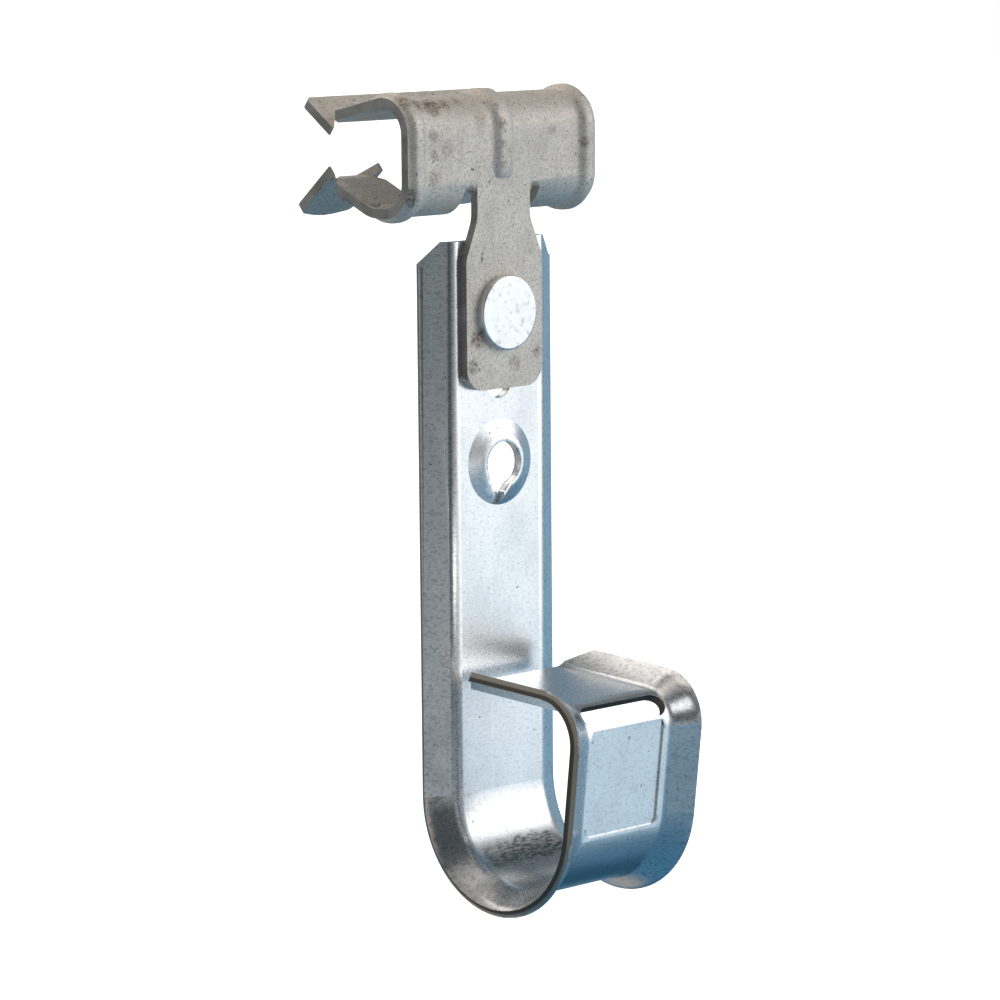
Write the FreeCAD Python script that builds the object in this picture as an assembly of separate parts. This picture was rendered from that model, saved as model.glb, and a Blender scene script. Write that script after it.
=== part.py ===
import FreeCAD, Part
import math
import os

from FreeCAD import Vector

# J hook cable support: a flared sheet hook riveted to a spring clip for a beam flange.
# Frame: the origin is the middle of the clip's throat, on the inner face of its web.
# +X runs along the beam, +Y into the beam flange, +Z up. The cables lie on the -Y side.

# Hook sheet and its section
hook_sheet = 1.15
hook_width = 22.2            # over the flared edges
flat_width = 13.2            # flat floor of the section
flare_angle = 32.0           # each edge bends away from the cables by this much
flare_radius = 3.0           # on the cable side

# Hook path, from the rivet down round the saddle and back over the cables
hook_height = 79.0           # top edge to the underside of the saddle's floor
strip_above_rivet = 8.9
saddle_radius = 9.85
front_lean = 6.7             # the front wall leans out by this many degrees
front_wall_length = 10.75
flap_radius = 2.85
flap_rise = 2.8              # the flap climbs towards the strip by this many degrees
flap_length = 15.3

# Cut-off corners at both ends of the hook blank
corner_start = 8.0           # half width where the slanted cut starts
corner_end = 10.6            # half width where it ends in a small step
corner_drop = 2.75

# Holes, boss, slot and panel of the hook
fixing_hole = 4.2
fixing_hole_drop = 8.5       # below the rivet axis
boss_drop = 18.45            # below the rivet axis
boss_hole = 5.2
boss_tail = 1.05             # how far the hole draws out beyond its circle towards the slit
low_spread = 30.0            # degrees over which it does so on the low side of the slit
high_spread = 13.0           # and on the high side
slit_turn = 11.0             # the slit points this much to the left of straight down
boss_rim = 0.5               # width of the flat rim round the hole
boss_foot = 10.6
boss_low = 0.45              # height of the rim left of the slit
boss_high = 1.3              # height right of the slit, after one turn
slit_width = 0.4
slot_length = 13.8
slot_height = 3.0
panel_width = 12.0
panel_length = 13.3
panel_over_bend = 1.4        # how far the panel flattens the bend, up to the slot
panel_depth = 0.25
panel_corner = 0.8

# Rivet
rivet_hole = 6.4
rivet_clearance = 0.05       # radial running clearance of the shank in both holes
clinch_gap = 0.03            # axial play of the hook between tab and clinch
head_width = 9.15
head_height = 0.95
head_edge = 0.25
clinch_width = 8.4
clinch_height = 1.3
clinch_bore = 3.6
clinch_bore_depth = 2.4

# Clip sheet, throat and arms
clip_sheet = 1.15
clip_width = 31.4
throat_height = 12.1
throat_radius = 3.2          # inside radius of both bends beside the web
rivet_drop = 19.2            # throat centre to the rivet axis
top_arm_fall = 12.5          # degrees that the top arm closes towards the bottom one
top_arm_length = 9.8
floor_length = 1.25          # level stretch of the bottom arm
floor_radius = 5.0
bottom_arm_rise = 24.0
bottom_arm_length = 6.75
crest_radius = 2.5           # throat side of the bend at each arm's tip
top_lip_rise = 35.0
top_lip_length = 2.9
bottom_lip_fall = 40.0
bottom_lip_length = 4.8
bottom_lip_bulge = 1.1       # the bottom lips end in a shallow round
lip_corner = 0.9

# Teeth: corners of the lips that run on straight behind the bend, past a notch in the arm
top_tooth = 3.1              # from the end of the bend back to the tip
bottom_tooth = 3.0
tooth_base = 2.9
tooth_point = 0.3
notch_start = 11.7           # depth of the notch at the side of the arm
notch_end = 14.3             # depth of its inner end

# Tab, neck and the slots that free them from the bottom arms
tab_width = 12.7
tab_below_rivet = 9.3
tab_corner = 2.7
shoulder_top = 11.4          # above the rivet axis
shoulder_bottom = 6.7
shoulder_radius = 4.0
neck_width = 8.8
neck_slot = 1.9
slot_round_drop = 0.8        # top of the neck slots below the end of the web
tab_slot = 1.15
slot_flare_start = 3.0       # depth where the slots start to widen, and where they are wide
slot_flare_end = 8.0

# Stiffening beads pressed outwards round the clip
bead_height = 0.6
bead_slope = 1.6
bead_crest = 0.9
end_bead_width = 3.3
end_bead_slope = 1.1         # flank that falls to the clip's cut end, which stays flat
bead_fade = 3.0              # length over which a bead runs out on an arm
bead_arm_run = 0.3           # full height carried on to each arm
middle_bead_end = 1.7        # full-height end of the middle bead above the end of the web

across = Vector(1, 0, 0)
inwards = Vector(0, 1, 0)
upwards = Vector(0, 0, 1)
overlap = 0.1                # how far cutting and joining shapes reach into the sheet
reach = 40.0                 # longer than any cut needs

strip_top = strip_above_rivet - rivet_drop
strip_length = hook_height - saddle_radius - hook_sheet
saddle_z = strip_top - strip_length


def direction(degrees):
    """Unit vector in the YZ plane at an angle from +Y towards +Z."""
    angle = math.radians(degrees)
    return Vector(0, math.cos(angle), math.sin(angle))


def plane_point(origin, u_axis, v_axis):
    """Function that turns plane coordinates into a point in space."""
    return lambda u, v: origin + u_axis * u + v_axis * v


def rounded_outline(corners, place):
    """Closed wire through (u, v, radius) corners, each rounded by its own radius."""
    starts, mids, ends = [], [], []
    count = len(corners)
    for index, (u, v, radius) in enumerate(corners):
        corner = Vector(u, v, 0)
        before = Vector(*corners[index - 1][:2], 0) - corner
        after = Vector(*corners[(index + 1) % count][:2], 0) - corner
        before.normalize()
        after.normalize()
        half = before.getAngle(after) / 2
        setback = radius / math.tan(half)
        bisector = before + after
        bisector.normalize()
        depth = radius / math.sin(half) - radius
        starts.append(corner + before * setback)
        mids.append(corner + bisector * depth)
        ends.append(corner + after * setback)
    edges = []
    for index in range(count):
        start, mid, end = (place(p.x, p.y) for p in (starts[index], mids[index], ends[index]))
        if corners[index][2] > 0:
            edges.append(Part.Arc(start, mid, end).toShape())
        following = starts[(index + 1) % count]
        after = place(following.x, following.y)
        if end.distanceToPoint(after) > 1e-6:
            edges.append(Part.LineSegment(end, after).toShape())
    return Part.Wire(edges)


def plate(corners, place, thickness):
    """Flat solid with a rounded outline, extruded by a vector."""
    return Part.Face(rounded_outline(corners, place)).extrude(thickness)


def mirrored(shape):
    """Copy on the other side of the YZ plane."""
    return shape.mirror(Vector(0, 0, 0), across)


def walk(point, heading, move):
    """Follow one move of a path. Returns the new point, the new heading and the bend's axis."""
    if move[0] == "run":
        return point + direction(heading) * move[1], heading, None
    radius, turn = move[1:]
    arm = math.copysign(radius, turn)
    centre = point + direction(heading + 90) * arm
    heading = heading + turn
    return centre - direction(heading + 90) * arm, heading, centre


def formed_strip(section, start, heading, moves):
    """Carry a section along runs and bends in the YZ plane.

    The section is a function of a point on the reference face and the normal towards the
    sheet, which stands 90 degrees ahead of the heading. A move is ("run", length) or
    ("bend", radius, degrees). Returns the solid, its end point and its heading.
    """
    point = Vector(start)
    solids = []
    for move in moves:
        face = section(point, direction(heading + 90))
        after, heading, centre = walk(point, heading, move)
        if centre is None:
            solids.append(face.extrude(after - point))
        else:
            solids.append(face.revolve(centre, across, move[2]))
        point = after
    solid = solids[0]
    if len(solids) > 1:
        solid = solid.fuse(solids[1:])
    return solid, point, heading


def hook_section(point, normal):
    """Flat floor with an edge bent away on each side, as one closed face."""
    flare = math.radians(flare_angle)
    tilt = Vector(-math.sin(flare), math.cos(flare), 0) * hook_sheet
    half_flare = flare / 2
    floor = Vector(flat_width / 2, 0, 0)
    centre = floor + Vector(0, flare_radius, 0)
    bend_mid = centre + Vector(math.sin(half_flare), -math.cos(half_flare), 0) * flare_radius
    bend_end = centre + Vector(math.sin(flare), -math.cos(flare), 0) * flare_radius
    run_out = hook_width / 2 - bend_end.x
    edge = bend_end + Vector(run_out, run_out * math.tan(flare), 0)
    back_radius = flare_radius - hook_sheet
    back_mid = centre + Vector(math.sin(half_flare), -math.cos(half_flare), 0) * back_radius
    back_floor = floor + Vector(0, hook_sheet, 0)

    def place(p, side):
        return point + across * (p.x * side) + normal * p.y

    edges = []
    for side in (1, -1):
        spots = [place(p, side) for p in (floor, bend_mid, bend_end, edge, edge + tilt,
                                          bend_end + tilt, back_mid, back_floor)]
        edges.append(Part.Arc(*spots[0:3]).toShape())
        edges.append(Part.LineSegment(spots[2], spots[3]).toShape())
        edges.append(Part.LineSegment(spots[3], spots[4]).toShape())
        edges.append(Part.LineSegment(spots[4], spots[5]).toShape())
        edges.append(Part.Arc(*spots[5:8]).toShape())
    for p in (floor, back_floor):
        edges.append(Part.LineSegment(place(p, 1), place(p, -1)).toShape())
    return Part.Face(Part.Wire(Part.__sortEdges__(edges)))


def corner_cuts(end_point, outwards, normal):
    """Slanted cuts with a small step that take both corners off an end of the hook blank."""
    depth = 4 * hook_sheet
    place = plane_point(end_point - normal * depth, across, outwards)
    slope = corner_drop / (corner_end - corner_start)
    outline = [(corner_start - overlap / slope, overlap, 0),
               (corner_end, -corner_drop, 0),
               (hook_width, -corner_drop, 0),
               (hook_width, overlap, 0)]
    cut = plate(outline, place, normal * (2 * depth))
    return [cut, mirrored(cut)]


def thread_boss():
    """Raised ring whose rim climbs once round the hole, as a single thread.

    The hole is round but for its lowest part, which draws out into the slit.
    """
    centre = Vector(0, 0, -rivet_drop - boss_drop)
    foot = boss_foot / 2
    seat = 0.25                  # how far the ring's foot reaches into the strip
    step = 0.02                  # the ring's back stays this far inside the strip's back
    slit_half = math.degrees(slit_width / boss_foot) / 2
    back_foot = foot - hook_sheet / 2
    sections = []
    count = 60
    for index in range(count + 1):
        share = index / count
        below_level = share * (360 - 2 * slit_half) + slit_half - 90
        angle = math.radians(180 - below_level - slit_turn)
        radial = Vector(math.cos(angle), 0, math.sin(angle))
        drawn = math.exp(-(360 * share / low_spread) ** 2)
        drawn += math.exp(-(360 * (1 - share) / high_spread) ** 2)
        hole = boss_hole / 2 + boss_tail * drawn
        rim = hole + boss_rim
        height = boss_low + (boss_high - boss_low) * share
        spread = seat * (foot - rim) / height
        spots = [(hole, -height), (rim, -height), (foot + spread, seat),
                 (foot + spread, (hook_sheet + seat) / 2),
                 (back_foot + seat, hook_sheet - step), (back_foot, hook_sheet - step),
                 (rim - hook_sheet / 4, hook_sheet - height), (hole, hook_sheet - height)]
        corners = [centre + radial * r + inwards * y for r, y in spots]
        sections.append(Part.makePolygon(corners + corners[:1]))
    ring = Part.makeLoft(sections, True, False)
    return centre, ring


def hook_path():
    """Strip, saddle, front wall and flap as one formed sheet, with the flap's end."""
    moves = [("run", strip_length),
             ("bend", saddle_radius, front_lean - 180),
             ("run", front_wall_length),
             ("bend", flap_radius, flap_rise - front_lean - 90),
             ("run", flap_length)]
    solid, end, heading = formed_strip(hook_section, Vector(0, 0, strip_top), -90, moves)
    return solid, end, heading


def front_wall_start():
    """Cable-side point where the saddle ends and the front wall starts."""
    return Vector(0, -saddle_radius, saddle_z) + direction(180 + front_lean) * saddle_radius


def make_j_hook():
    hook, flap_end, flap_heading = hook_path()
    cuts = corner_cuts(Vector(0, 0, strip_top), upwards, inwards)
    cuts += corner_cuts(flap_end, direction(flap_heading), direction(flap_heading + 90))

    for width, drop in ((rivet_hole, 0), (fixing_hole, fixing_hole_drop)):
        centre = Vector(0, -reach / 2, -rivet_drop - drop)
        cuts.append(Part.makeCylinder(width / 2, reach, centre, inwards))

    wall_start = front_wall_start()
    wall_up = direction(90 + front_lean)
    wall_out = direction(180 + front_lean)
    bend_centre = wall_start + wall_up * front_wall_length - wall_out * flap_radius
    slot_normal = direction((90 + flap_rise + 180 + front_lean) / 2)
    slot_up = slot_normal.cross(across) * -1
    half_slot = slot_height / 2
    slot = [(-slot_length / 2, -half_slot, half_slot * 0.98),
            (slot_length / 2, -half_slot, half_slot * 0.98),
            (slot_length / 2, half_slot, half_slot * 0.98),
            (-slot_length / 2, half_slot, half_slot * 0.98)]
    cuts.append(plate(slot, plane_point(bend_centre, across, slot_up), slot_normal * reach))

    panel_foot = wall_start + wall_out * (hook_sheet - panel_depth)
    panel_top = front_wall_length + panel_over_bend
    panel_base = panel_top - panel_length
    panel = [(-panel_width / 2, panel_base, panel_corner),
             (panel_width / 2, panel_base, panel_corner),
             (panel_width / 2, panel_top, panel_corner),
             (-panel_width / 2, panel_top, panel_corner)]
    cuts.append(plate(panel, plane_point(panel_foot, across, wall_up), wall_out * hook_sheet))

    boss_centre, ring = thread_boss()
    opening = (boss_foot - hook_sheet / 2) / 2
    cuts.append(Part.makeCylinder(opening, 6, boss_centre - inwards * 3, inwards))
    hook = hook.cut(cuts).fuse(ring)

    bottom = -boss_foot / 2
    slit = [(-slit_width / 2, -boss_hole / 4, 0), (slit_width / 2, -boss_hole / 4, 0),
            (slit_width / 2, bottom, 0), (-slit_width / 2, bottom, 0)]
    turn = math.radians(slit_turn)
    slit_up = Vector(math.sin(turn), 0, math.cos(turn))
    slit_place = plane_point(boss_centre - inwards * 4, inwards.cross(slit_up), slit_up)
    hook = hook.cut(plate(slit, slit_place, inwards * 8))
    return hook.removeSplitter()


def make_rivet():
    """Flat-headed semi-tubular rivet, revolved about its axis."""
    shank = rivet_hole / 2 - rivet_clearance
    back = hook_sheet + clinch_gap
    end = back + clinch_height
    front = -clip_sheet - head_height
    head, clinch, bore = head_width / 2, clinch_width / 2, clinch_bore / 2
    bulge = clinch_height / 2

    def place(r, y):
        return Vector(r, y, -rivet_drop)

    turn = math.sqrt(0.5)
    lines = [(place(0, front), place(head - head_edge, front)),
             (place(head, front + head_edge), place(head, -clip_sheet)),
             (place(head, -clip_sheet), place(shank, -clip_sheet)),
             (place(shank, -clip_sheet), place(shank, back)),
             (place(shank, back), place(clinch - bulge, back)),
             (place(clinch - bulge, end), place(bore + bulge, end)),
             (place(bore, end - bulge), place(bore, end - clinch_bore_depth)),
             (place(bore, end - clinch_bore_depth), place(0, end - clinch_bore_depth - bore / 3)),
             (place(0, end - clinch_bore_depth - bore / 3), place(0, front))]
    edges = [Part.LineSegment(*line).toShape() for line in lines]
    edges.append(Part.Arc(place(head - head_edge, front),
                          place(head - head_edge * (1 - turn), front + head_edge * (1 - turn)),
                          place(head, front + head_edge)).toShape())
    edges.append(Part.Arc(place(clinch - bulge, back), place(clinch, back + bulge),
                          place(clinch - bulge, end)).toShape())
    edges.append(Part.Arc(place(bore + bulge, end),
                          place(bore + bulge * (1 - turn), end - bulge * (1 - turn)),
                          place(bore, end - bulge)).toShape())
    profile = Part.Face(Part.Wire(Part.__sortEdges__(edges)))
    return profile.revolve(Vector(0, 0, -rivet_drop), inwards, 360)


def clip_path():
    """Moves of the clip's inner face, from the tip of the bottom arm to that of the top."""
    return [("bend", crest_radius, bottom_arm_rise + bottom_lip_fall),
            ("run", bottom_arm_length),
            ("bend", floor_radius, -bottom_arm_rise),
            ("run", floor_length),
            ("bend", throat_radius, -90),
            ("run", throat_height - 2 * throat_radius),
            ("bend", throat_radius, -90 - top_arm_fall),
            ("run", top_arm_length),
            ("bend", crest_radius, top_arm_fall + top_lip_rise)]


def clip_sheet_section(point, normal):
    """Full width of the clip's sheet as one closed face."""
    half = clip_width / 2
    corners = [(-half, 0, 0), (half, 0, 0), (half, clip_sheet, 0), (-half, clip_sheet, 0)]
    return Part.Face(rounded_outline(corners, plane_point(point, across, normal)))


def lip(place, thickness, length, tooth, x_from, x_to, bulge):
    """Flat lip with a tooth at each side that runs back past the start of the lip."""
    middle = (x_from + x_to) / 2
    outline = [(x_from, -tooth, 0),
               (x_from, length, lip_corner)]
    if bulge:
        outline.append((middle, length + bulge, (x_to - x_from)))
    outline += [(x_to, length, lip_corner),
                (x_to, -tooth, 0),
                (x_to - tooth_point, -tooth, 0),
                (x_to - tooth_base, 0, 0),
                (x_from + tooth_base, 0, 0),
                (x_from + tooth_point, -tooth, 0)]
    return plate(outline, place, thickness)


def tooth_notch(edge, outwards, z_from, z_to):
    """Cut behind a tooth, slanted in plan from the side of the arm to the bend."""
    slope = (notch_end - notch_start) / tooth_base
    inner = edge - outwards * tooth_base
    outer = edge + outwards
    plan = [(outer, notch_start - slope, 0), (inner, notch_end, 0),
            (inner, notch_end + crest_radius, 0), (outer, notch_end + crest_radius, 0)]
    place = plane_point(Vector(0, 0, z_from), across, inwards)
    return plate(plan, place, upwards * (z_to - z_from))


def bead_section(feet, crest, base, height):
    """Section function for a bead with S-shaped flanks: feet and crest are pairs of X values."""
    def section(point, normal):
        place = plane_point(point, across, normal)
        low, high = base - overlap, base + height
        edges = [Part.LineSegment(place(feet[0], low), place(feet[1], low)).toShape(),
                 Part.LineSegment(place(crest[0], high), place(crest[1], high)).toShape()]
        for foot, top in zip(feet, crest):
            edges.append(Part.LineSegment(place(foot, low), place(foot, base)).toShape())
            run = top - foot
            radius = (run * run + height * height) / (4 * height)
            sag = radius - math.sqrt(radius * radius - run * run / 16)
            slant = math.hypot(run, height)
            shift_u, shift_v = sag * height / slant * math.copysign(1, run), sag * abs(run) / slant
            middle = place((foot + top) / 2, base + height / 2)
            lower = place(foot + run / 4 + shift_u, base + height / 4 - shift_v)
            upper = place(top - run / 4 - shift_u, high - height / 4 + shift_v)
            edges.append(Part.Arc(place(foot, base), lower, middle).toShape())
            edges.append(Part.Arc(middle, upper, place(top, high)).toShape())
        return Part.Face(Part.Wire(Part.__sortEdges__(edges)))
    return section


def sinking(turn_sign):
    """Two bends that let a bead sink smoothly into the sheet."""
    drop = bead_height + overlap / 2
    angle = 2 * math.degrees(math.atan(drop / bead_fade))
    radius = bead_fade / (2 * math.sin(math.radians(angle)))
    return [("bend", radius, turn_sign * angle), ("bend", radius, -turn_sign * angle)]


def upper_bead(section, start):
    """Bead up the web, round the top bend and out on to the top arm."""
    web_end = throat_height / 2 - throat_radius
    moves = [("run", web_end - start.z), ("bend", throat_radius, -90 - top_arm_fall),
             ("run", bead_arm_run)] + sinking(-1)
    return formed_strip(section, start, 90, moves)[0]


def lower_bead(section, start, moves):
    """Bead that goes down from a point of the web and then sinks away."""
    return formed_strip(lambda point, normal: section(point, normal * -1), start, -90,
                        moves + sinking(1))[0]


def make_beads(base):
    """All three beads, standing on the face of the sheet at the given depth."""
    web_foot = Vector(0, 0, throat_radius - throat_height / 2)
    half_crest = bead_crest / 2
    half_foot = half_crest + bead_slope
    start = web_foot + upwards * middle_bead_end
    middle = bead_section((-half_foot, half_foot), (-half_crest, half_crest), base, bead_height)
    pieces = [upper_bead(middle, start), lower_bead(middle, start, [])]
    edge = clip_width / 2
    round_bottom = [("bend", throat_radius, 90), ("run", bead_arm_run)]
    for side in (1, -1):
        feet = (side * edge, side * (edge - end_bead_width))
        crest = (side * (edge - end_bead_slope), side * (edge - end_bead_width + bead_slope))
        section = bead_section(feet, crest, base, bead_height)
        pieces += [upper_bead(section, web_foot), lower_bead(section, web_foot, round_bottom)]
    return pieces


def tab_outline():
    """Corners of the neck, shoulders and tab, from the end of the web down."""
    half_neck, half_tab = neck_width / 2, tab_width / 2
    web_foot = throat_radius - throat_height / 2
    high = shoulder_top - rivet_drop
    low = shoulder_bottom - rivet_drop
    foot = -rivet_drop - tab_below_rivet
    right = [(half_neck, web_foot, 0), (half_neck, high, shoulder_radius),
             (half_tab, low, shoulder_radius), (half_tab, foot, tab_corner)]
    left = [(-x, z, radius) for x, z, radius in reversed(right)]
    return right + left


def make_flange_clip():
    edge = clip_width / 2
    web_foot = Vector(0, 0, throat_radius - throat_height / 2)
    moves = clip_path()
    start, heading = web_foot, -90
    for move in reversed(moves[:5]):
        back = (move[0], move[1]) if move[0] == "run" else (move[0], move[1], -move[2])
        start, heading, _ = walk(start, heading, back)
    body, top_end, top_heading = formed_strip(clip_sheet_section, start, heading + 180, moves)
    body = body.cut(make_beads(0.0)).fuse(make_beads(clip_sheet))

    half_neck = neck_width / 2
    half_slot = half_neck + neck_slot
    half_gap = tab_width / 2 + tab_slot
    front_skin = 0.5             # depth over which only the neck slots are cut
    plan = [(-half_slot, front_skin, 0), (half_slot, front_skin, 0),
            (half_slot, slot_flare_start, 0), (half_gap, slot_flare_end, 0),
            (half_gap, reach, 0), (-half_gap, reach, 0),
            (-half_gap, slot_flare_end, 0), (-half_slot, slot_flare_start, 0)]
    cuts = [plate(plan, plane_point(upwards * -reach, across, inwards), upwards * reach)]
    front_place = plane_point(inwards * -reach, across, upwards)
    front_depth = inwards * (reach + front_skin)
    neck_cut = [(-half_neck, -reach, 0), (half_neck, -reach, 0),
                (half_neck, web_foot.z, 0), (-half_neck, web_foot.z, 0)]
    cuts.append(plate(neck_cut, front_place, front_depth))
    slot_top = web_foot.z - slot_round_drop
    for side in (1, -1):
        inner, outer = sorted((side * half_neck, side * half_slot))
        slot = [(inner, -reach, 0), (outer, -reach, 0),
                (outer, slot_top, neck_slot * 0.49), (inner, slot_top, neck_slot * 0.49)]
        cuts.append(plate(slot, front_place, front_depth))
        cuts.append(tooth_notch(side * edge, side, -reach, reach))
        cuts.append(tooth_notch(side * half_gap, -side, -reach, 0))
    body = body.cut(cuts)

    pieces = [plate(tab_outline(), plane_point(inwards * -clip_sheet, across, upwards),
                    inwards * clip_sheet)]
    top_place = plane_point(top_end, across, direction(top_heading))
    pieces.append(lip(top_place, direction(top_heading + 90) * clip_sheet,
                      top_lip_length, top_tooth, -edge, edge, 0))
    bottom_place = plane_point(start, across, direction(heading))
    for x_from, x_to in ((-edge, -half_gap), (half_gap, edge)):
        pieces.append(lip(bottom_place, direction(heading - 90) * clip_sheet,
                          bottom_lip_length, bottom_tooth, x_from, x_to, bottom_lip_bulge))
    clip = body.fuse(pieces)
    hole = Part.makeCylinder(rivet_hole / 2, 6, Vector(0, -3, -rivet_drop), inwards)
    return clip.cut(hole).removeSplitter()


def save(name, shape):
    """Write one solid as its own file and say what it is."""
    solid = shape.Solids[0] if len(shape.Solids) == 1 else shape
    solid.exportStep(os.path.join("parts", name + ".step"))
    box = solid.BoundBox
    print(name, "solids", len(shape.Solids), "valid", solid.isValid(),
          "volume", round(solid.Volume, 2),
          "box", [round(v, 2) for v in (box.XMin, box.YMin, box.ZMin, box.XMax, box.YMax, box.ZMax)])


os.makedirs("parts", exist_ok=True)
save("j_hook", make_j_hook())
save("rivet", make_rivet())
save("flange_clip", make_flange_clip())
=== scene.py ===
"""J hook cable support: finishes, stage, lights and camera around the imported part."""

import math

import bmesh
import bpy
from mathutils import Matrix, Vector

MM = 0.001

# Camera: the point it looks at, its direction from there, and its lens
AIM = Vector((0.0, 0.0, -54.2)) * MM
AZIMUTH = math.radians(-43.76)
ELEVATION = math.radians(9.52)
ROLL = math.radians(-0.5)
DISTANCE = 518.42 * MM
IMAGE = 1000.0                         # side of the square picture, in pixels
FOCAL_PIXELS = 4208.0
CENTRE_X = 500.74                      # pixel of the aim, from the left and from the top
CENTRE_Y = 594.75
SENSOR = 36.0
NEAREST, FARTHEST = 0.01, 50.0         # metres

# Places on the hook that its finish follows, in mm. Each pair is the start and the end of the
# soft change there, and widths are counted from the middle.
FLARED = (6.8, 8.2)
CUT_EDGE = (10.2, 10.4)
EDGE_INNER = 10.49                     # at the back of the cut edge
FRACTURE = (EDGE_INNER + 0.26, EDGE_INNER + 0.38)
ON_STRIP = (-3.0, -1.5)                # depth
SLOT_HEIGHT = (-68.6, -68.2)
SLOT_DEPTH = (-14.0, -14.4)
SLOT_WIDTH = (7.3, 7.1)
SLOT_FACING = (0.0, -0.763, 0.646)     # the way the tie slot is cut through the bend
DIE_LINE = 1.6                         # left of the middle
DIE_LINE_WIDTH = (0.10, 0.04)

# Marks where cables rubbed the saddle: centre and radius in mm, and how dark
RUBBED = (((-4.8, -4.9, -84.5), 2.7, 0.7), ((-2.2, -4.8, -84.4), 2.9, 0.9),
          ((0.4, -4.7, -84.3), 3.0, 1.0), ((3.0, -4.7, -84.2), 3.0, 1.0),
          ((5.4, -4.6, -84.2), 2.8, 1.0))

# Brown stains of the clip: centre and radius in mm, and how dark
STAINS = (((-10.4, -0.1, 6.5), 2.1, 1.0), ((-12.8, 0.2, 6.8), 1.8, 0.8),
          ((-8.2, 0.1, 6.7), 1.6, 0.8), ((-6.0, 0.3, 6.9), 1.2, 0.6),
          ((-14.8, 0.4, 6.7), 1.3, 0.7), ((-11.6, -1.4, 2.6), 1.1, 0.5),
          ((-11.4, -1.4, 0.4), 0.9, 0.6), ((-11.6, -1.4, -2.4), 1.3, 0.5),
          ((-15.2, -0.9, -4.4), 1.5, 0.9), ((-9.2, -1.2, 1.0), 1.3, 0.35),
          ((-3.6, -1.2, 4.3), 1.3, 0.35), ((-0.7, -1.3, 6.2), 1.0, 0.9),
          ((-0.5, -2.0, 3.8), 1.1, 0.6), ((-0.5, -2.2, 1.2), 0.9, 0.6),
          ((-0.6, -2.0, -1.2), 0.8, 0.4), ((5.4, 0.2, 6.9), 0.6, 0.7),
          ((8.2, -1.2, 2.6), 0.9, 0.45), ((13.3, -1.9, 3.8), 0.7, 0.6),
          ((13.4, -2.0, 0.8), 1.0, 0.8), ((13.4, -2.0, -1.4), 0.7, 0.6),
          ((-4.6, -1.2, -22.2), 1.4, 1.0), ((-5.4, -1.2, -25.4), 1.2, 0.8),
          ((1.6, -1.2, -25.6), 1.3, 0.5), ((5.4, -1.2, -24.4), 0.9, 0.5))

SHARP = 35.0                           # an edge is rounded from this angle on, in degrees
WELD = 0.002                           # mm

FLOOR_HEIGHT = -0.30                   # metres
FLOOR_RADIUS = 8.0

# Colour of the room's light from straight below (0) to straight above (1)
ROOM = ((0.0, (0.055, 0.18, 0.30)), (0.12, (0.07, 0.18, 0.29)), (0.22, (0.12, 0.24, 0.35)),
        (0.30, (0.14, 0.27, 0.38)), (0.41, (0.24, 0.42, 0.57)), (0.50, (0.22, 0.36, 0.47)),
        (0.60, (0.24, 0.33, 0.39)), (0.70, (0.33, 0.34, 0.35)), (0.80, (0.38, 0.375, 0.365)),
        (1.0, (0.34, 0.33, 0.315)))

# Round patches of light and shade in the room, named by what mirrors them: azimuth and
# elevation of the middle, radius of the even part and radius where it has faded out, all in
# degrees, and colour. Each lies over the ones before it.
ROOM_PATCHES = (
    (-118, 26, 34, 42, (0.06, 0.07, 0.075)),     # upper part of the saddle's left flare
    (-111, -13, 3, 9, (0.61, 0.59, 0.55)),       # left flare of the strip
    (0, 84, 10, 20, (1.10, 1.03, 0.95)),         # lower part of the saddle's left flare
    (-158, 0, 20, 36, (0.42, 0.38, 0.34)),       # cut edge of the front wall
    (134, -9, 14, 30, (0.44, 0.40, 0.36)),       # cut end of the clip
    (84, -44, 18, 30, (0.44, 0.42, 0.39)),       # cut edge of the saddle
    (15, 46, 14, 24, (0.11, 0.14, 0.16)),        # lower part of the saddle's floor
    (46, 12, 10, 24, (0.17, 0.25, 0.32)),        # top of the flap
    (23, -43, 8, 22, (0.02, 0.08, 0.14)),        # bend under the front wall
    (-74, 0, 8, 24, (0.40, 0.41, 0.42)),         # left bend of the strip
    (-46, -23, 9, 18, (0.64, 0.82, 0.95)),       # front wall
    (-46, 15, 21, 29, (1.50, 1.52, 1.53)),       # strip and upper part of the saddle's floor
    (77, 48, 14, 28, (1.40, 1.33, 1.25)))        # right flare of the flap

# Lamps: the point of the part that each faces in mm, the way from there to the lamp, distance
# and size in metres, power in watts, and tint
LAMPS = (("right_front", (0, 0, -42), (0.72, -0.68, 0.30), 1.0, (0.5, 0.4), 0.4, (1, 1, 1)),
         ("left_back", (0, 0, -42), (-0.9, 0.5, 0.4), 1.2, (0.6, 0.6), 0.5, (1.0, 0.98, 0.95)),
         ("near_card", (9.5, -20.5, -66.5), (-0.41, -0.76, 0.50), 0.036, (0.015, 0.015),
          0.0013, (1, 1, 1)))


def colour(r, g, b):
    """Opaque colour."""
    return (r, g, b, 1.0)


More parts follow.
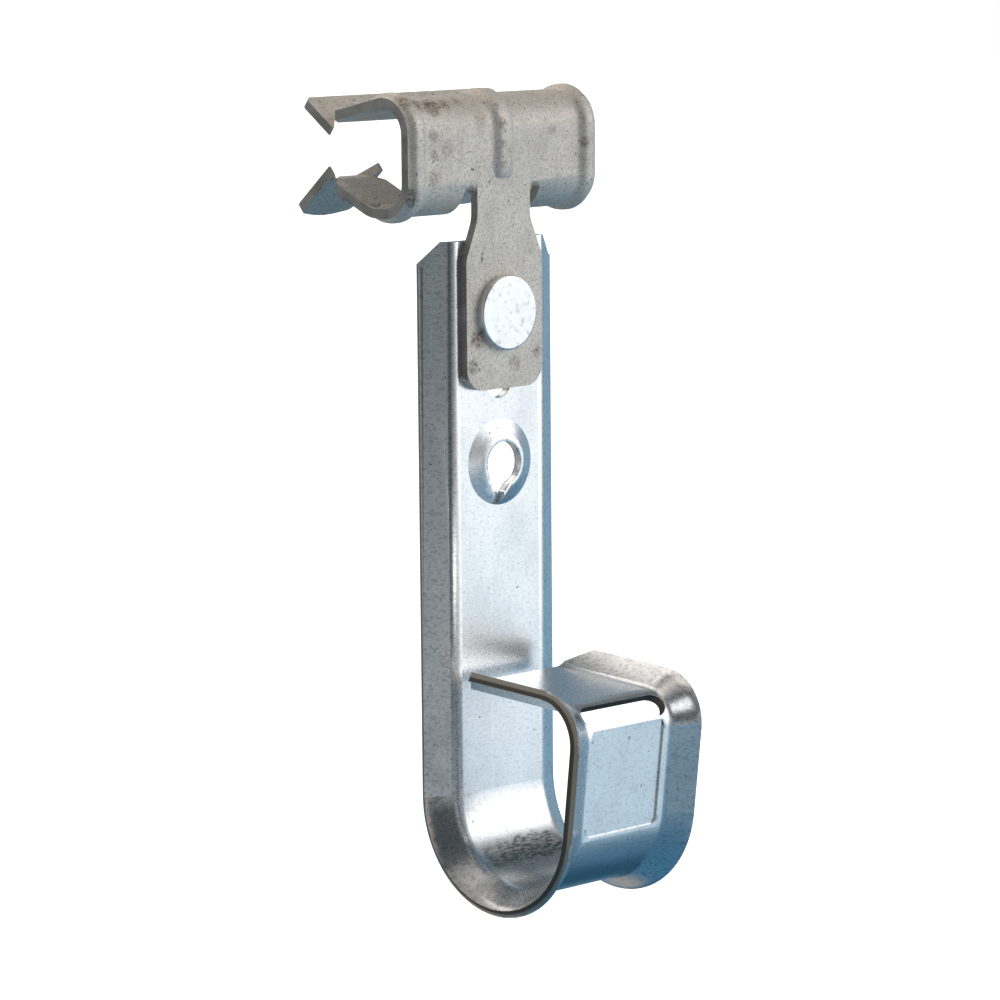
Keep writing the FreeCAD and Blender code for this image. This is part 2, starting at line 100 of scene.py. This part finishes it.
class Graph:
    """A node tree with short ways to add the nodes that it needs."""

    def __init__(self, tree):
        self.tree = tree
        self.tree.nodes.clear()
        self.place = tree.nodes.new("ShaderNodeTexCoord")

    def put(self, socket, value):
        """Link a socket or set a constant."""
        if isinstance(value, bpy.types.NodeSocket):
            self.tree.links.new(value, socket)
        else:
            socket.default_value = value

    def node(self, kind, inputs, **settings):
        """New node with its settings, and its inputs by name or number."""
        made = self.tree.nodes.new(kind)
        for name, value in settings.items():
            setattr(made, name, value)
        for key, value in inputs.items():
            self.put(made.inputs[key], value)
        return made

    def maths(self, operation, a, b=0.0, c=0.0):
        """Result of one step of arithmetic."""
        return self.node("ShaderNodeMath", {0: a, 1: b, 2: c}, operation=operation).outputs[0]

    def span(self, value, low, high, to_low=0.0, to_high=1.0):
        """Smooth step from one range to another."""
        return self.node("ShaderNodeMapRange",
                         {"Value": value, "From Min": low, "From Max": high,
                          "To Min": to_low, "To Max": to_high},
                         interpolation_type="SMOOTHSTEP").outputs["Result"]

    def past(self, value, change):
        """Smooth step over a pair of places given in millimetres."""
        start, end = change
        return self.span(value, start * MM, end * MM)

    def blend(self, share, first, second):
        """Colour between two others."""
        return self.node("ShaderNodeMix", {0: share, 6: first, 7: second},
                         data_type="RGBA").outputs[2]

    def along(self, vector, direction):
        """Part of a vector that lies in one direction."""
        return self.node("ShaderNodeVectorMath", {0: vector, 1: direction},
                         operation="DOT_PRODUCT").outputs["Value"]


class Finish(Graph):
    """One procedural material on object coordinates."""

    def __init__(self, name):
        self.material = bpy.data.materials.new(name)
        self.material.use_nodes = True
        super().__init__(self.material.node_tree)
        self.shader = self.tree.nodes.new("ShaderNodeBsdfPrincipled")
        output = self.tree.nodes.new("ShaderNodeOutputMaterial")
        self.tree.links.new(self.shader.outputs["BSDF"], output.inputs["Surface"])
        self.position = self.place.outputs["Object"]
        self.normal = self.place.outputs["Normal"]

    def stretched(self, scale, shift=(0, 0, 0)):
        """Object coordinates scaled per axis, for grain that runs along the sheet."""
        return self.node("ShaderNodeMapping", {"Vector": self.position, "Location": shift,
                                               "Scale": scale}).outputs[0]

    def noise(self, scale, detail, roughness, vector=None):
        """Noise on object coordinates, or on a stretched copy of them."""
        source = self.position if vector is None else vector
        return self.node("ShaderNodeTexNoise",
                         {"Vector": source, "Scale": scale, "Detail": detail,
                          "Roughness": roughness}).outputs["Fac"]

    def xyz(self, vector):
        """The three parts of a vector."""
        return self.node("ShaderNodeSeparateXYZ", {0: vector}).outputs

    def spot(self, centre, radius, softness, wobble=0.6, grain=420.0):
        """Soft ragged patch round a point given in millimetres."""
        offset = self.node("ShaderNodeVectorMath",
                           {0: self.position, 1: Vector(centre) * MM},
                           operation="SUBTRACT").outputs[0]
        distance = self.node("ShaderNodeVectorMath", {0: offset},
                             operation="LENGTH").outputs["Value"]
        ragged = self.maths("MULTIPLY_ADD", self.noise(grain, 3.0, 0.6), wobble * radius * MM,
                            distance)
        reach = radius * MM * (1 + wobble / 2)
        return self.span(ragged, reach, reach * (1 - softness))

    def patches(self, spots, softness):
        """Greatest of several ragged patches, each a centre, a radius and a strength."""
        total = 0.0
        for centre, radius, strength in spots:
            patch = self.maths("MULTIPLY", self.spot(centre, radius, softness), strength)
            total = self.maths("MAXIMUM", patch, total)
        return total

    def bump(self, height, distance, strength, under=None):
        """Surface relief, on top of another relief if one is given."""
        inputs = {"Height": height, "Distance": distance, "Strength": strength}
        if under is not None:
            inputs["Normal"] = under
        return self.node("ShaderNodeBump", inputs).outputs[0]

    def surface(self, **sockets):
        """Finish the shader and hand back the material."""
        for name, value in sockets.items():
            self.put(self.shader.inputs[name.replace("_", " ")], value)
        return self.material


def worn_zinc(f, clouds, mottle, scratches, wide):
    """Colour of the zinc: clouds and mottle, drawing marks, a line of the die, pits and rubs."""
    bright, cloudy = colour(0.83, 0.84, 0.85), colour(0.74, 0.755, 0.77)
    grey, polished, white = (colour(0.46, 0.46, 0.46), colour(0.95, 0.94, 0.92),
                             colour(0.98, 0.98, 0.98))
    pitted, scuffed = colour(0.12, 0.12, 0.12), colour(0.13, 0.14, 0.145)
    x, y, _ = f.xyz(f.position)

    zinc = f.blend(f.span(clouds, 0.35, 0.7), bright, cloudy)
    depth = f.maths("MULTIPLY_ADD", f.past(wide, FLARED), 0.35, 0.45)
    mottled = f.maths("MULTIPLY", f.span(mottle, 0.46, 0.70), depth)
    zinc = f.blend(mottled, zinc, grey)
    zinc = f.blend(f.maths("MULTIPLY", scratches, 0.5), zinc, polished)

    from_line = f.maths("ABSOLUTE", f.maths("ADD", x, DIE_LINE * MM))
    die_line = f.maths("MULTIPLY", f.past(from_line, DIE_LINE_WIDTH), f.past(y, ON_STRIP))
    zinc = f.blend(f.maths("MULTIPLY", die_line, 0.4), zinc, white)
    pits = f.span(f.noise(1150.0, 2.0, 0.5), 0.725, 0.75)
    zinc = f.blend(f.maths("MULTIPLY", pits, 0.75), zinc, pitted)

    rubs = f.span(f.noise(3600.0, 4.0, 0.75, f.stretched((0.28, 1.0, 1.0))), 0.36, 0.60)
    rubs = f.maths("MULTIPLY", rubs, f.patches(RUBBED, 0.15))
    return f.blend(f.maths("MULTIPLY", rubs, 0.9), zinc, scuffed)


def sheared_edges_and_slot_shade(f, zinc, wide):
    """Bare steel on the cut edges, smooth and then torn, and painted shade on the cut walls of the
    tie slot.
    """
    sheared, torn, shaded = (colour(0.44, 0.40, 0.35), colour(0.13, 0.115, 0.10),
                             colour(0.20, 0.17, 0.145))
    _, y, z = f.xyz(f.position)
    sideways = f.maths("ABSOLUTE", f.xyz(f.normal)[0])
    cut = f.maths("MULTIPLY", f.span(sideways, 0.70, 0.78), f.past(wide, CUT_EDGE))
    zinc = f.blend(cut, zinc, f.blend(f.past(wide, FRACTURE), sheared, torn))

    # Painted shade: the walls of the tie slot get a dark colour for the shade inside the slot, and
    # they also count as bare cut steel for roughness.
    slot_wall = f.span(f.maths("ABSOLUTE", f.along(f.normal, SLOT_FACING)), 0.45, 0.30)
    for value, change in ((z, SLOT_HEIGHT), (y, SLOT_DEPTH), (wide, SLOT_WIDTH)):
        slot_wall = f.maths("MULTIPLY", slot_wall, f.past(value, change))
    return f.blend(slot_wall, zinc, shaded), f.maths("MAXIMUM", cut, slot_wall)


def galvanised_sheet():
    """Bright zinc on rolled sheet: fine grain, clouds, drawing marks and a two-tone cut edge."""
    f = Finish("bright_galvanised_sheet")
    wide = f.maths("ABSOLUTE", f.xyz(f.position)[0])
    clouds = f.noise(150.0, 4.0, 0.6)
    grain = f.noise(3800.0, 3.0, 0.7)
    mottle = f.noise(1700.0, 3.0, 0.65, f.stretched((1.0, 1.0, 1.6)))
    rolled = f.noise(1900.0, 3.0, 0.6, f.stretched((1.0, 0.06, 0.06)))
    drawn = f.noise(2600.0, 2.0, 0.5, f.stretched((1.0, 1.0, 0.025)))
    scratches = f.maths("MULTIPLY", f.span(drawn, 0.66, 0.70), f.past(wide, FLARED))

    zinc = worn_zinc(f, clouds, mottle, scratches, wide)
    zinc, bare = sheared_edges_and_slot_shade(f, zinc, wide)
    rough = f.maths("MULTIPLY_ADD", grain, 0.14, 0.15)
    rough = f.maths("MULTIPLY_ADD", clouds, 0.10, rough)
    rough = f.maths("MULTIPLY_ADD", bare, 0.25, rough)
    skin = f.bump(rolled, 0.004 * MM, 0.5)
    skin = f.bump(mottle, 0.006 * MM, 0.5, skin)
    skin = f.bump(grain, 0.006 * MM, 0.6, skin)
    skin = f.bump(scratches, 0.006 * MM, 0.6, skin)
    return f.surface(Base_Color=zinc, Metallic=1.0, Roughness=rough, Normal=skin)


def spring_steel():
    """Matt tempered steel, warm grey with brown stains, fine grain, pits and worn cut faces."""
    warm, tempered, streaked, dull = (colour(0.97, 0.89, 0.80), colour(0.84, 0.765, 0.68),
                                      colour(0.64, 0.57, 0.49), colour(0.42, 0.385, 0.35))
    haze, stained, pitted = (colour(0.60, 0.49, 0.39), colour(0.17, 0.11, 0.075),
                             colour(0.12, 0.10, 0.09))
    worn, oxidised = colour(0.44, 0.41, 0.375), colour(0.27, 0.25, 0.225)
    f = Finish("matt_spring_steel")
    clouds = f.noise(240.0, 5.0, 0.6)
    grain = f.noise(3300.0, 4.0, 0.8)
    pits = f.noise(1500.0, 2.0, 0.5)
    streaks = f.noise(520.0, 3.0, 0.6, f.stretched((1.0, 0.3, 0.3), (0.01, 0, 0)))
    steel = f.blend(f.span(clouds, 0.3, 0.75), warm, tempered)
    steel = f.blend(f.span(streaks, 0.5, 0.75, 0.0, 0.35), steel, streaked)
    steel = f.blend(f.span(grain, 0.44, 0.68, 0.0, 0.75), steel, dull)

    stains = f.patches(STAINS, 0.5)
    speckled = f.maths("MULTIPLY", stains, f.span(f.noise(2300.0, 4.0, 0.8), 0.40, 0.60))
    steel = f.blend(f.maths("MULTIPLY", stains, 0.5), steel, haze)
    steel = f.blend(f.maths("MULTIPLY", speckled, 0.95), steel, stained)
    steel = f.blend(f.span(pits, 0.69, 0.73, 0.0, 0.7), steel, pitted)
    cut = f.span(f.maths("ABSOLUTE", f.xyz(f.normal)[0]), 0.85, 0.95)
    steel = f.blend(cut, steel, f.blend(f.span(clouds, 0.35, 0.65), worn, oxidised))

    rough = f.maths("MULTIPLY_ADD", clouds, 0.12, 0.54)
    skin = f.bump(clouds, 0.03 * MM, 0.35)
    skin = f.bump(grain, 0.014 * MM, 0.7, skin)
    return f.surface(Base_Color=steel, Metallic=0.5, Roughness=rough, Normal=skin)


def rivet_zinc():
    """Clear zinc on a cold-headed rivet, brighter than the sheet and faintly speckled."""
    bright, grey = colour(0.84, 0.845, 0.85), colour(0.47, 0.47, 0.47)
    f = Finish("zinc_plated_rivet")
    speckle = f.noise(1300.0, 4.0, 0.7)
    clouds = f.noise(320.0, 3.0, 0.6)
    zinc = f.blend(f.span(speckle, 0.52, 0.68, 0.0, 0.7), bright, grey)
    rough = f.maths("MULTIPLY_ADD", clouds, 0.18, 0.22)
    skin = f.bump(speckle, 0.008 * MM, 0.6)
    return f.surface(Base_Color=zinc, Metallic=1.0, Roughness=rough, Normal=skin)


def dress(node, material, rounding):
    """Give a piece its finish, weld its packed triangles and round its sharp edges, in mm."""
    node.data.materials.clear()
    node.data.materials.append(material)
    weld = node.modifiers.new("weld", "WELD")
    weld.merge_threshold = WELD * MM
    edge = node.modifiers.new("sheared_edge", "BEVEL")
    edge.width = rounding * MM
    edge.segments = 2
    edge.limit_method = "ANGLE"
    edge.angle_limit = math.radians(SHARP)
    edge.use_clamp_overlap = True
    edge.harden_normals = True


def add_object(name, data):
    """Put a new object into the scene."""
    thing = bpy.data.objects.new(name, data)
    bpy.context.scene.collection.objects.link(thing)
    return thing


def pale_floor():
    """Large pale disc under the part, which the sheet doesn't mirror."""
    mesh = bmesh.new()
    bmesh.ops.create_circle(mesh, cap_ends=True, segments=64, radius=FLOOR_RADIUS,
                            matrix=Matrix.Translation((0, 0, FLOOR_HEIGHT)))
    data = bpy.data.meshes.new("floor")
    mesh.to_mesh(data)
    mesh.free()
    floor = add_object("floor", data)
    data.materials.append(Finish("pale_floor").surface(
        Base_Color=colour(0.92, 0.92, 0.92), Roughness=0.9,
        Emission_Color=colour(1, 1, 1), Emission_Strength=1.0))
    floor.visible_glossy = False
    floor.visible_diffuse = False


def softbox(name, centre, towards, distance, size, power, tint):
    """Soft rectangular lamp that stands in one direction from a point of the part and faces it."""
    light = bpy.data.lights.new(name, "AREA")
    light.shape = "RECTANGLE"
    light.size, light.size_y = size
    light.energy = power
    light.color = tint
    box = add_object(name, light)
    direction = Vector(towards).normalized()
    box.location = Vector(centre) * MM + direction * distance
    box.rotation_mode = "QUATERNION"
    box.rotation_quaternion = direction.to_track_quat("Z", "Y")


def round_patch(room, azimuth, elevation, inner, outer):
    """Share of a round patch of the room, 1 within the inner radius and 0 past the outer."""
    turn, tilt = math.radians(azimuth), math.radians(elevation)
    towards = (math.cos(turn) * math.cos(tilt), math.sin(turn) * math.cos(tilt), math.sin(tilt))
    return room.span(room.along(room.place.outputs["Generated"], towards),
                     math.cos(math.radians(outer)), math.cos(math.radians(inner)))


def room_light():
    """Blue light from below and grey from above, with patches. The camera sees plain white."""
    world = bpy.data.worlds.new("room")
    bpy.context.scene.world = world
    world.use_nodes = True
    room = Graph(world.node_tree)
    height = room.node("ShaderNodeSeparateXYZ", {0: room.place.outputs["Generated"]}).outputs[2]
    ramp = room.node("ShaderNodeValToRGB", {"Fac": room.maths("MULTIPLY_ADD", height, 0.5, 0.5)})
    stops = ramp.color_ramp.elements
    for position, _ in ROOM[1:-1]:
        stops.new(position)
    for stop, (position, shade) in zip(stops, ROOM):
        stop.position, stop.color = position, colour(*shade)
    light = ramp.outputs["Color"]
    for azimuth, elevation, inner, outer, shade in ROOM_PATCHES:
        share = round_patch(room, azimuth, elevation, inner, outer)
        light = room.blend(share, light, colour(*shade))
    lit = room.node("ShaderNodeBackground", {"Color": light, "Strength": 1.0})
    plain = room.node("ShaderNodeBackground", {"Color": colour(1, 1, 1)})
    camera_sees = room.node("ShaderNodeLightPath", {}).outputs["Is Camera Ray"]
    choose = room.node("ShaderNodeMixShader", {0: camera_sees, 1: lit.outputs[0],
                                               2: plain.outputs[0]})
    room.node("ShaderNodeOutputWorld", {"Surface": choose.outputs[0]})


def photograph_camera():
    """Camera at the photograph's viewing angle, with its long lens."""
    back = Vector((math.sin(AZIMUTH) * math.cos(ELEVATION),
                   -math.cos(AZIMUTH) * math.cos(ELEVATION), math.sin(ELEVATION)))
    level = Vector((math.cos(AZIMUTH), math.sin(AZIMUTH), 0.0))
    above = back.cross(level)
    right = level * math.cos(ROLL) + above * math.sin(ROLL)
    up = above * math.cos(ROLL) - level * math.sin(ROLL)
    lens = bpy.data.cameras.new("camera")
    lens.sensor_width = SENSOR
    lens.lens = FOCAL_PIXELS / IMAGE * SENSOR
    lens.shift_x = (IMAGE / 2 - CENTRE_X) / IMAGE
    lens.shift_y = (CENTRE_Y - IMAGE / 2) / IMAGE
    lens.clip_start, lens.clip_end = NEAREST, FARTHEST
    camera = add_object("camera", lens)
    turn = Matrix((right, up, back)).transposed().to_4x4()
    camera.matrix_world = Matrix.Translation(AIM + back * DISTANCE) @ turn
    bpy.context.scene.camera = camera


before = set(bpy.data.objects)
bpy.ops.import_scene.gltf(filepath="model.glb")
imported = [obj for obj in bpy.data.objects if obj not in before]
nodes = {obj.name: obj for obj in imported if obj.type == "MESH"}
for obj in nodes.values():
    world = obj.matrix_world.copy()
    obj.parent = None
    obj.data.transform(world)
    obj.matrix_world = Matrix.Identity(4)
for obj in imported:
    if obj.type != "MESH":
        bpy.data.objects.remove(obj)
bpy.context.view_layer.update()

dress(nodes["j_hook"], galvanised_sheet(), rounding=0.10)
dress(nodes["flange_clip"], spring_steel(), rounding=0.14)
dress(nodes["rivet"], rivet_zinc(), rounding=0.06)

pale_floor()
room_light()
for lamp in LAMPS:
    softbox(*lamp)
photograph_camera()
bpy.context.scene.view_settings.view_transform = "Standard"
